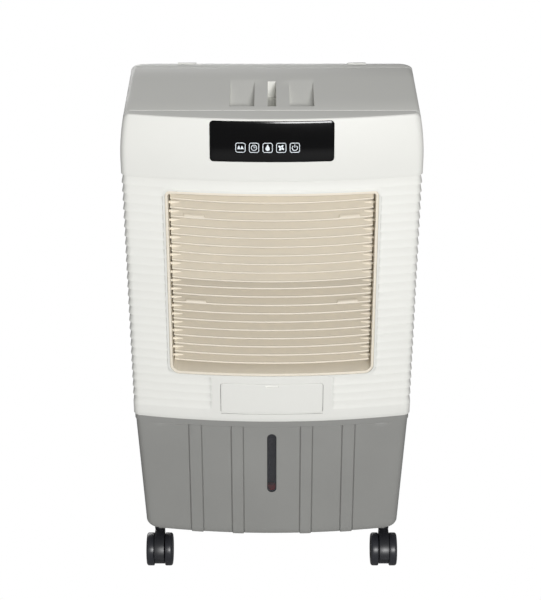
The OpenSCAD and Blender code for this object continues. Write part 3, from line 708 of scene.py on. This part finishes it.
def make_lid():
    # The edge rounds down at the front and the back seam
    stations = [(-102.7, 1.5), (-102.6, 0.95), (-102.27, 0.45), (-101.8, 0.12), (-101.2, 0.0),
                (-60, 0.0), (-20, 0.0), (20, 0.0), (58.6, 0.0), (59.6, 0.3), (60.0, 1.0)]
    right = [("wall", 775.0, 0.6), ("wall", 775.2, 0.15), ("wall", 775.8, 0.0),
             ("wall", 778.5, 0.0)]
    right += [("bend", 90 * i / 9, 0.0) for i in range(10)]
    right += [("top", x, 0.0) for x in (190, 150, 100, 62, 30, 0)]

    def place(kind, t, edge, rim, sign, y):
        if kind == "wall":
            return sign * (half_width(t) - edge - rim), y, t
        if kind == "bend":
            turn = math.radians(t)
            z = TOP_Z - SHOULDER_FILLET + (SHOULDER_FILLET - rim) * math.sin(turn)
            x = half_width(z) - SHOULDER_FILLET + (SHOULDER_FILLET - rim) * math.cos(turn)
            return sign * x, y, z
        return sign * t, y, TOP_Z - rim

    ring = [(kind, t, edge, 1) for kind, t, edge in right]
    ring += [(kind, t, edge, -1) for kind, t, edge in reversed(right[:-1])]
    points = []
    for kind, t, edge, sign in ring:
        for y, rim in stations:
            points.append(place(kind, t, edge, rim, sign, y))
    lid = new_object("lid", points, grid_faces(len(ring), len(stations)))
    thicken(lid, WALL)
    # Two ramped pockets with a slot between them, each with its own thin wall
    cuts = []
    for sign in (-1, 1):
        low, high = side_span(sign, 25, 60)
        wall = [(-90, 789.5), (-90, 776), (-41.5, 776), (6, 788), (6, 789.5)]
        combine(lid, prism("pocket_wall", wall, low - 2, high + 2, 0), "UNION")
        hole = [(-88, 793), (-88, 778), (-41, 778), (4, 790), (4, 793)]
        cuts.append(prism("pocket", hole, low, high, 0))
    combine(lid, box("slot_wall", -8, 8, -90, 6, 763, 789.5), "UNION")
    cuts.append(box("slot", -6, 6, -88, 4, 765, 793))
    for cut in cuts:
        combine(lid, cut, "DIFFERENCE")
    finish_piece(lid, "cabinet", WHITE, ["top_cover"], 28)


make_front_panel()
make_sides()
make_rear_panel()
make_lid()


# ---------------------------------------------------------------- air outlet

def make_louvre_frame():
    outer = densify(rounded(-152.5, 152.5, 377, 680, 14, 8), 14)
    inner = densify(rounded(-148.5, 148.5, 381, 676, 10, 4), 14)
    # From the back of the outer wall, over the rounded rim, to the back of the inner wall
    rings = [(outer, 0.0, -56.0), (outer, 0.0, 2.2), (outer, 0.06, 1.6), (outer, 0.25, 1.15),
             (outer, 0.75, 1.0), (inner, 0.85, 1.0), (inner, 0.3, 1.15), (inner, 0.06, 1.6),
             (inner, 0.0, 2.4), (inner, 0.0, -56.0)]
    count = len(outer)
    points = []
    for ring, pull, depth in rings:
        sign = -1 if ring is outer else 1
        for i in range(count):
            x = ring[i][0]
            z = ring[i][1]
            across = Vector((x, z - OUTLET_MID)).normalized()
            x += sign * pull * across.x
            z += sign * pull * across.y
            y = depth if depth < 0 else front_y(x, depth, z)
            points.append((x, y, z))
    faces = grid_faces(len(rings), count, 0, True)
    faces += ring_faces(count, 0, (len(rings) - 1) * count)
    ring = new_object("frame_ring", points, faces)
    fix_normals(ring)
    flange = prism("flange", rounded(-160.5, 160.5, 369, 688, 14, 14), -60, -56.3, 1)
    hole = prism("flange_hole", rounded(-150.5, 150.5, 379, 678, 12, 6), -61, -55, 1)
    combine(flange, hole, "DIFFERENCE")
    support = box("support", -1.5, 1.5, -89, -86.5, 380, 677)
    frame_piece = join("louvre_surround", [ring, flange, support])
    finish_piece(frame_piece, "cabinet", BEIGE, ["louvre_frame"])


LOUVRE_R = BOW_R - 15
LOUVRE_TOP = 665
LOUVRE_PITCH = 14.23
BANK_SIZE = 10
UPPER_TILT = 23
LOWER_TILT = 12
LUG_R = 2.2


def make_louvre(k):
    """A louvre, built level about its pivot, then tilted and moved to its place."""
    def edge(x):
        return BOW_Y - math.sqrt(LOUVRE_R ** 2 - x ** 2) - PIVOT_Y
    # Cross-section from the front lip to the back edge, as (distance behind the front, height)
    lip = [(0.0, -0.7), (0.0, 0.7), (0.25, 1.15), (0.7, 1.4), (1.3, 1.35), (1.9, 1.0), (2.6, 0.9)]
    under = [(2.6, -0.9), (1.9, -1.0), (1.3, -1.35), (0.7, -1.4), (0.25, -1.15)]
    stations = [-146 + 292 * i / 30 for i in range(31)]
    points = []
    for x in stations:
        front = edge(x)
        section = [(front + back, up) for back, up in lip]
        section += [(13.5, 0.8), (14.0, 0.4), (14.0, -0.4), (13.5, -0.8)]
        section += [(front + back, up) for back, up in under]
        points += [(x, y, z) for y, z in section]
    count = len(lip) + 4 + len(under)
    faces = grid_faces(len(stations), count, 0, True)
    faces.append(tuple(range(count)))
    faces.append(tuple((len(stations) - 1) * count + i for i in range(count)))
    blade = new_object("blade", points, faces)
    fix_normals(blade)
    parts = [blade]
    for sign in (-1, 1):
        boss = [(0, 133), (1.2, 133.1), (1.6, 133.6), (3.3, 145.6), (3.4, 146), (2.05, 146),
                (2.0, 151.9), (1.7, 152.2), (0, 152.2)]
        parts.append(lathe("boss", [(r, sign * h) for r, h in boss], (0, 0, 0), 0, 20))
        lug = [(0, -2), (LUG_R - 0.3, -2), (LUG_R, -1.7), (LUG_R, 1.7), (LUG_R - 0.3, 2), (0, 2)]
        parts.append(lathe("lug", lug, (sign * 73, 18, 0), 0, 16))
        parts.append(box("arm", sign * 73 - 2, sign * 73 + 2, 13, 18, -0.9, 0.9))
        if k in (3, 13):
            outline = [(97, edge(97) + 0.5), (112, edge(112) + 0.5), (127, edge(127) + 0.5),
                       (127, edge(127) + 6), (112, edge(112) + 6), (97, edge(97) + 6)]
            tab = prism("tab", [(sign * x, y) for x, y in outline], 0, 3.3, 2)
            soften(tab, 0.8)
            apply_modifiers(tab)
            parts.append(tab)
    louvre = join("slat_%02d" % k, parts)
    tilt = UPPER_TILT if k <= BANK_SIZE else LOWER_TILT
    place = Matrix.Translation((0, PIVOT_Y * MM, (LOUVRE_TOP - LOUVRE_PITCH * (k - 1)) * MM))
    louvre.data.transform(place @ Matrix.Rotation(math.radians(tilt), 4, "X"))
    name = "louvre_%02d" % k
    finish_piece(louvre, name, BEIGE, [name])


def make_vane(k, x):
    """A swinging vane behind the louvres: a thin upright blade with a rounded front edge."""
    outline = []
    for y in (-84.0, -83.4, -72.0, -66.6, -66.0):
        half = 0.35 if y in (-84.0, -66.0) else 1.0
        outline.append((x + half, y))
    for y in (-66.0, -66.6, -72.0, -83.4, -84.0):
        half = 0.35 if y in (-84.0, -66.0) else 1.0
        outline.append((x - half, y))
    parts = [prism("blade", outline, 385, 672, 2)]
    foot = 363 if x == 0 else 377.3
    stem = [(0, foot), (1.7, foot), (2.0, foot + 0.3), (2.0, 383), (2.6, 383), (2.6, 674),
            (2.0, 674), (2.0, 679.4), (1.7, 679.7), (0, 679.7)]
    parts.append(lathe("stem", stem, (x, -72, 0), 2, 16))
    ear = [(0, 396), (2.5, 396), (2.8, 396.3), (2.8, 399.7), (2.5, 400), (0, 400)]
    parts.append(lathe("ear", ear, (x, -62, 0), 2, 16))
    parts.append(box("arm", x - 1, x + 1, -67, -62, 396, 400))
    vane = join("swing_vane_%d" % k, parts)
    finish_piece(vane, "vane_%d" % k, BEIGE, ["vane_%d" % k])


make_louvre_frame()
for number in range(1, 2 * BANK_SIZE + 1):
    make_louvre(number)
for number in range(1, 6):
    make_vane(number, -112 + 56 * (number - 1))


# ---------------------------------------------------------------- fill door and display

def surface_slab(name, outline, outer, inner):
    """A plate that follows the bowed front, between two depths. outline is (x, z) points."""
    xs = [p[0] for p in outline]
    zs = [p[1] for p in outline]
    columns = 24
    rows = 12
    points = []
    for depth in (outer, inner):
        for i in range(rows + 1):
            z = min(zs) - 2 + (max(zs) - min(zs) + 4) * i / rows
            for j in range(columns + 1):
                x = min(xs) - 2 + (max(xs) - min(xs) + 4) * j / columns
                points.append((x, front_y(x, depth, z), z))
    slab = new_object(name, points, slab_faces(rows + 1, columns + 1))
    fix_normals(slab)
    combine(slab, prism("outline", outline, -170, -90, 1), "INTERSECT")
    return slab


def make_fill_door():
    door = surface_slab("fill_flap", rounded(-76.9, 76.9, 311.7, 363, 4, 4), 0.0, 3.5)
    # A shallow recess for a finger at the top edge
    recess = prism("finger_slot", rounded(-10, 10, 357.5, 361.6, 2, 2), -160, -143.9, 1)
    combine(door, recess, "DIFFERENCE")
    soften(door, 0.5, 50)
    apply_modifiers(door)
    # The hinge pins and the round lower edge between them
    pin = [(0, -81), (1.0, -81), (1.2, -80.8), (1.2, -77)]
    pin += [(door_heel(x), x) for x in range(-77, 78, 7)]
    pin += [(1.2, 77), (1.2, 80.8), (1.0, 81), (0, 81)]
    barrel = lathe("barrel", pin, DOOR_HINGE, 0, 20)
    flap = join("fill_flap", [door, barrel])
    finish_piece(flap, "fill_door", WHITE, ["fill_door"])


SYMBOL_DEPTH = -0.27
KEY_Z = 751.0
KEY_X = (-44, -25, -6, 13, 32)


def on_display(points):
    """The (x, z) points, placed just in front of the display glass."""
    return [(x, front_y(x, SYMBOL_DEPTH, z), z) for x, z in points]


def stroke(points, width, closed=False):
    """A flat ribbon along (x, z) points on the display."""
    count = len(points)
    made = []
    for i in range(count):
        before = points[(i - 1) % count] if closed or i > 0 else points[i]
        after = points[(i + 1) % count] if closed or i < count - 1 else points[i]
        along = Vector((after[0] - before[0], after[1] - before[1])).normalized()
        across = Vector((-along.y, along.x)) * width / 2
        for side in (-1, 1):
            made.append((points[i][0] + side * across.x, points[i][1] + side * across.y))
    steps = count if closed else count - 1
    faces = []
    for i in range(steps):
        k = (i + 1) % count
        faces.append((2 * i, 2 * i + 1, 2 * k + 1, 2 * k))
    return new_object("stroke", on_display(made), faces)


def patch(points):
    """A flat filled shape on the display."""
    return new_object("patch", on_display(points), [tuple(range(len(points)))])


def make_display():
    glass = surface_slab("display_glass", rounded(-87, 87, 730, 787, 5, 5), -0.2, 1.2)
    soften(glass, 0.35, 50)
    apply_modifiers(glass)
    finish_piece(glass, "cabinet", BLACK, ["display_panel"])
    # Five key outlines with plain symbols: arrows for the swing, timer, drop, fan and power
    parts = []
    z = KEY_Z
    for x in KEY_X:
        parts.append(stroke(rounded(x - 6.6, x + 6.6, z - 6.6, z + 6.6, 2.6, 2.6, 5), 0.9, True))
    swing, timer, drop, fan, power = KEY_X
    for x in (swing - 2.2, swing + 2.2):
        arrow = [(x - 2.3, z - 2.2), (x + 2.3, z - 2.2), (x + 0.4, z + 2.6), (x - 0.4, z + 2.6)]
        parts.append(patch(arrow))
    parts.append(stroke(arc(timer, z, 3.8, 0, 360, 20)[:-1], 0.95, True))
    parts.append(stroke([(timer, z + 2.6), (timer, z), (timer + 2.2, z)], 0.95))
    parts.append(patch([(drop, z + 4.8)] + arc(drop, z - 1.4, 3.0, 25, -205, 12)))
    for turn in (45, 135, 225, 315):
        t = math.radians(turn)
        blade = arc(fan + 2.7 * math.cos(t), z + 2.7 * math.sin(t), 2.1, turn, turn + 225, 8)
        parts.append(patch(blade))
    parts.append(stroke(arc(power, z - 0.3, 3.7, 125, 415, 16), 0.95))
    parts.append(stroke([(power, z + 4.6), (power, z + 0.4)], 0.95))
    keys = join("key_symbols", parts)
    thicken(keys, 0.3)
    finish_piece(keys, "cabinet", GLYPH)


make_fill_door()
make_display()


# ---------------------------------------------------------------- tank

def tank_measure(low, growth, z):
    """A measure of the tank that changes evenly from its bottom to its top."""
    return low + growth * (z - TANK_LOW) / TANK_RISE


def front_inset(z):
    """How far the tank's front lies behind the bowed front of the cabinet."""
    return tank_measure(6.4, -3.0, z)


def tank_point(station, z, round_down, lip):
    """A point of the tank's wall. round_down is how far the bottom edge has turned in, 0 to 1."""
    kind, t, edge, sign = station
    if lip:
        w = half_width(z) - 1.5
        front = 1.5
        back = BACK_Y - 1.5
        heel = REAR_CORNER - 1.5
    else:
        w = tank_measure(198.5, 10.5, z) - 12 * round_down
        front = front_inset(z) + 3 * round_down
        back = tank_measure(140, 4, z) - 3 * round_down
        heel = 14
    x, y = plan_point(kind, t, w, BOW_R - front, back, 0, heel)
    if kind == "front" and not lip:
        # Two broad upright ribs on each side of the level window
        rise = 1.75 + 0.5 * (TANK_HIGH - z) / TANK_RISE
        plain = 1.0
        for low, high in ((44, 62), (108, 127)):
            rib = ease(t, low - 0.4, low + 0.9) * (1 - ease(t, high - 0.9, high + 0.4))
            plain -= rib
            y -= rise * rib
            # A fine groove along each side of the rib
            for edge_x in (low - 0.7, high + 0.7):
                y += 1.1 * max(0.0, 1 - abs(t - edge_x) / 0.6)
        # A fine groove across the top of each plain panel
        y += 0.9 * plain * max(0.0, 1 - abs(z - 283.2) / 0.7)
    return sign * x, y, z


def make_tank():
    # Closely spaced where the ribs rise and the grooves run
    front_x = [0, 15, 30, 41, 42.7, 43.3, 43.9, 44.5, 45.1, 53, 60.9, 61.5, 62.1, 62.7, 63.3, 75,
               90, 103, 106.7, 107.3, 107.9, 108.5, 109.1, 117, 125.9, 126.5, 127.1, 127.7,
               128.3, 140, 155, 170]
    half = [("front", x, 0.0) for x in front_x] + [("near", i / 2, 0.0) for i in range(3)]
    half += [("corner", i / 7, 0.0) for i in range(1, 8)]
    half += [("side", y, 0.0) for y in (-95, -60, -20, 20, 60, 95, 118)]
    half += [("heel", i / 7, 0.0) for i in range(8)]
    half += [("back", 0.97 - i / 6 * 0.97, 0.0) for i in range(7)]
    stations = mirrored(half)[1:]

    def row(z, round_down=0.0, lip=False):
        return lambda station: tank_point(station, z, round_down, lip)

    rows = [row(80, 1.0)]
    for i in range(1, 8):
        turn = math.radians(90 * i / 7)
        rows.append(row(92 - 12 * math.cos(turn), 1 - math.sin(turn)))
    rows += [row(z) for z in (105, 130, 160, 190, 220, 250, 275, 282.4, 283.2, 284, 285.6)]
    rows += [row(286.0, 0, True), row(286.6, 0, True), row(290, 0, True), row(295.4, 0, True)]
    tank = loft("tank_wall", stations, rows)
    work = bmesh.new()
    work.from_mesh(tank.data)
    work.verts.ensure_lookup_table()
    count = len(stations)
    for i in range(len(rows) - 1):
        a = i * count
        b = (i + 1) * count
        work.faces.new([work.verts[k] for k in (a + count - 1, a, b, b + count - 1)])
    work.faces.new([work.verts[i] for i in reversed(range(count))])
    bmesh.ops.remove_doubles(work, verts=work.verts, dist=0.00002)
    bmesh.ops.recalc_face_normals(work, faces=work.faces)
    work.to_mesh(tank.data)
    work.free()
    thicken(tank, WALL)
    # Slot behind the level window, and the drain boss with its hole
    slot = prism("slot", rounded(-5.8, 5.8, 163.5, 269.5, 5.7, 5.7), -160, -130, 1)
    combine(tank, slot, "DIFFERENCE")
    boss = [(0, 130), (13, 130), (13, 142.4), (12.4, 143), (0, 143)]
    combine(tank, lathe("boss", boss, DRAIN, 1, 40), "UNION")
    hole = [(0, 120), (8.1, 120), (8.1, 150), (0, 150)]
    combine(tank, lathe("drain", hole, DRAIN, 1, 40), "DIFFERENCE")
    drop_scraps(tank, 100)
    # Sockets for the caster stems
    parts = [tank]
    socket = [(0, 82), (11, 82), (11, 113), (10, 114), (5.2, 114), (5.2, 104), (0, 104)]
    for x, y in CASTERS.values():
        parts.append(lathe("socket", socket, (x, y, 0), 2, 24))
    whole = join("tank_shell", parts)
    finish_piece(whole, "cabinet", GREY, ["water_tank"])


def make_level_window():
    """A clear cover over the float's slot, with a thin rim."""
    outline = rounded(-7.2, 7.2, 162, 271, 7.1, 7.1, 10)
    inner = rounded(-5.9, 5.9, 163.3, 269.7, 5.8, 5.8, 10)
    crest = rounded(-6.9, 6.9, 162.3, 270.7, 6.8, 6.8, 10)
    rings = [(outline, 0.6), (outline, -0.2), (crest, -0.6), (inner, -0.6), (inner, 0.2)]
    points = []
    for ring, proud in rings:
        points += [(x, front_y(x, front_inset(z) + proud, 0), z) for x, z in ring]
    count = len(outline)
    faces = grid_faces(len(rings), count, 0, True)
    faces += ring_faces(count, 0, (len(rings) - 1) * count)
    rim = new_object("window_rim", points, faces)
    fix_normals(rim)
    finish_piece(rim, "cabinet", DARK)
    pane_points = []
    for proud in (0.0, 1.4):
        pane_points += [(x, front_y(x, front_inset(z) + proud, 0), z) for x, z in inner]
    faces = grid_faces(2, count, 0, True)
    faces.append(tuple(range(count)))
    faces.append(tuple(range(count, 2 * count)))
    pane = new_object("window_pane", pane_points, faces)
    fix_normals(pane)
    finish_piece(pane, "cabinet", PANE, ["level_window"])


def make_float_guide():
    """The channel that the float rides in, painted dark for the shade inside the tank behind the
    level window.
    """
    parts = [box("guide", low, high, -140, -128, 159, 273) for low, high in ((-9, -7), (7, 9))]
    # The back sheet fills the window with painted shade.
    parts.append(box("guide_back", -7.5, 7.5, -130, -128.3, 159.5, 272.5))
    guide = join("float_guide_painted_shade", parts)
    # The dark material here is painted shade, not the channel's own colour.
    finish_piece(guide, "cabinet", DARK)


def make_float():
    block = prism("level_marker", rounded(-6.1, 6.1, 162, 174, 2.2, 2.2), -137.2, -130.7, 1)
    soften(block, 0.6)
    apply_modifiers(block)
    finish_piece(block, "level_float", FLOAT, ["level_float"])


def make_drain_plug():
    profile = [(0, 128), (7.4, 128), (8, 128.6), (8, 143.2), (11.5, 143.2), (12, 143.6),
               (12, 145.2), (11.5, 145.6), (4.5, 145.6), (4.2, 145.0), (0, 145.0)]
    plug = lathe("drain_cap", profile, DRAIN, 1, 48)
    finish_piece(plug, "drain_plug", DARK, ["drain_plug"])


make_tank()
make_level_window()
make_float_guide()
make_float()
make_drain_plug()


# ---------------------------------------------------------------- casters

def make_caster(name, x, y):
    """A twin-wheel caster: a hood between two wheels, which turns under the tank."""
    axle_y = y - 18
    axle_z = 26.5
    # The hood: a shield over the axle that runs back to the swivel collar
    hood = arc(axle_y, axle_z, 33.3, 205, 60, 18)
    outline = [(py, pz) for py, pz in hood if pz > 30 or py < axle_y]
    outline = [(py, max(pz, 30.6)) for py, pz in outline]
    outline += [(y + 6.8, 60.5), (y + 7, 58), (y + 7, 28)]
    outline += arc(axle_y, axle_z, 23.4, 0, -180, 14)
    shell = prism("hood", outline, x - 7.5, x + 7.5, 0)
    soften(shell, 1.6, 30, 3)
    apply_modifiers(shell)
    collar = [(0, 56), (8.5, 56), (8.5, 78.6), (7.9, 79.5), (5.0, 79.5), (5.0, 103.6),
              (4.2, 104), (0, 104)]
    parts = [shell, lathe("collar", collar, (x, y, 0), 2, 36)]
    ring = [(8.3, 63), (9.6, 63.6), (9.6, 66.4), (8.3, 67), (8.3, 63)]
    parts.append(lathe("collar_ring", ring, (x, y, 0), 2, 36))
    fork = join("hood_" + name, parts)
    body = "caster_fork_" + name
    finish_piece(fork, body, DARK, [body])
    wheels = []
    for sign in (-1, 1):
        # From the inner face over the rounded tread to the dished outer face and its hub
        profile = [(0, 8.2), (21, 8.2), (24.6, 8.4), (26.2, 9.2), (26.5, 10.4), (26.5, 17.2),
                   (26.2, 18.6), (25.3, 19.9), (23.8, 20.7), (21.6, 21.0), (20.2, 20.8),
                   (19.4, 20.0), (18.8, 18.6), (8.4, 18.2), (7.8, 18.8), (7.6, 20.2), (7.0, 20.8),
                   (0, 21.0)]
        wheels.append(lathe("wheel", [(r, sign * h) for r, h in profile],
                            (x, axle_y, axle_z), 0, 56))
    wheels.append(lathe("axle", [(0, -9), (3, -9), (3, 9), (0, 9)], (x, axle_y, axle_z), 0, 20))
    pair = join("wheels_" + name, wheels)
    body = "caster_wheels_" + name
    finish_piece(pair, body, TREAD, [body], 40)


for corner, (x, y) in CASTERS.items():
    make_caster(corner, x, y)


# ---------------------------------------------------------------- parts inside the cabinet

def make_pad():
    """The wet pad: stacked sheets of fluted paper, whose flutes slope up and down by turns."""
    columns = 193
    rows = 106
    sheet = 12
    points = []
    for face in (0, 1):
        for i in range(rows):
            z = 316.3 + 421.6 * i / (rows - 1)
            for j in range(columns):
                x = -192 + 2 * j
                slope = 1 if math.floor(x / sheet) % 2 == 0 else -1
                flute = 0.5 + 0.5 * math.sin(2 * math.pi * (x / 24 + slope * z / 16))
                y = 88.2 + 2.6 * flute if face == 0 else 119.8 - 2.6 * flute
                points.append((x, y, z))
    pad = new_object("fluted_pad", points, slab_faces(rows, columns))
    fix_normals(pad)
    finish_piece(pad, "rear_panel", PAPER, ["cooling_pad"])


def paint(name, look):
    """Gives a CAD node its material and shading."""
    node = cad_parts[name]
    node.data.materials.clear()
    node.data.materials.append(look)
    for face in node.data.polygons:
        face.use_smooth = False
        face.material_index = 0


make_pad()
for name in ("fill_chute", "water_distributor", "fan_shroud", "fan_blade"):
    paint(name, INNER)
for name in ("vane_tie_bar", "upper_tie_bars", "lower_tie_bars"):
    paint(name, BEIGE)
for name in ("pump", "cord_gland", "swing_motor"):
    paint(name, DARK)
for name in ("fan_motor", "housing_screws"):
    paint(name, STEEL)
paint("control_board", BOARD)
paint("pump_hose", HOSE)


# ---------------------------------------------------------------- floor and sizes

REACH = 6000
corners = [(-REACH, -REACH, 0), (REACH, -REACH, 0), (REACH, REACH, 0), (-REACH, REACH, 0)]
floor = new_object("floor", corners, [(0, 1, 2, 3)])
floor_look = material("floor_pale", (0.45, 0.45, 0.45, 1), 0.8, 0.01, specular=0.1)
floor.data.materials.append(floor_look)
# The camera sees the floor as bright as the backdrop
tree = floor_look.node_tree
glow = tree.nodes.new("ShaderNodeEmission")
glow.inputs["Strength"].default_value = 1.0
ray = tree.nodes.new("ShaderNodeLightPath")
blend = tree.nodes.new("ShaderNodeMixShader")
tree.links.new(ray.outputs["Is Camera Ray"], blend.inputs[0])
tree.links.new(tree.nodes["Principled BSDF"].outputs[0], blend.inputs[1])
tree.links.new(glow.outputs[0], blend.inputs[2])
tree.links.new(blend.outputs[0], tree.nodes["Material Output"].inputs[0])
